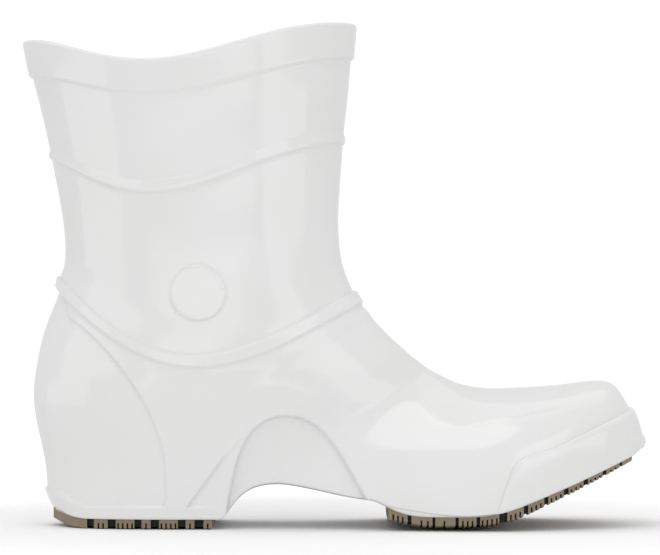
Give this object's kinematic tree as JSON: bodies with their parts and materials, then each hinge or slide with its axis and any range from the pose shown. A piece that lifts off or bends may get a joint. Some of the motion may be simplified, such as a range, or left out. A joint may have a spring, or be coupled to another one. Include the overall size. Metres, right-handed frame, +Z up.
{
  "type": "work boot",
  "caption": "Short pull-on slip-resistant work boot in glossy white PVC with a ribbed shaft, raised heel, arched waist and rubber tread, for the right foot.",
  "frame": {"origin": "on the floor under the middle of the heel's tread", "axes": "+X to the toe, +Y to the inner side of the foot, +Z up"},
  "size_m": [0.2959, 0.115, 0.2373],
  "materials": {
    "white_pvc": "glossy moulded PVC",
    "white_pvc_sole": "glossy moulded PVC",
    "insole_felt": "matte felt",
    "brown_rubber": "matte",
    "black_rubber": "matte"
  },
  "bodies": {
    "root": {"upper": "white_pvc", "sole": "white_pvc_sole", "insole": "insole_felt", "heel_tread": "brown_rubber", "forefoot_tread": "brown_rubber", "heel_tread_web": "black_rubber", "forefoot_tread_web": "black_rubber"}
  },
  "joints": []
}
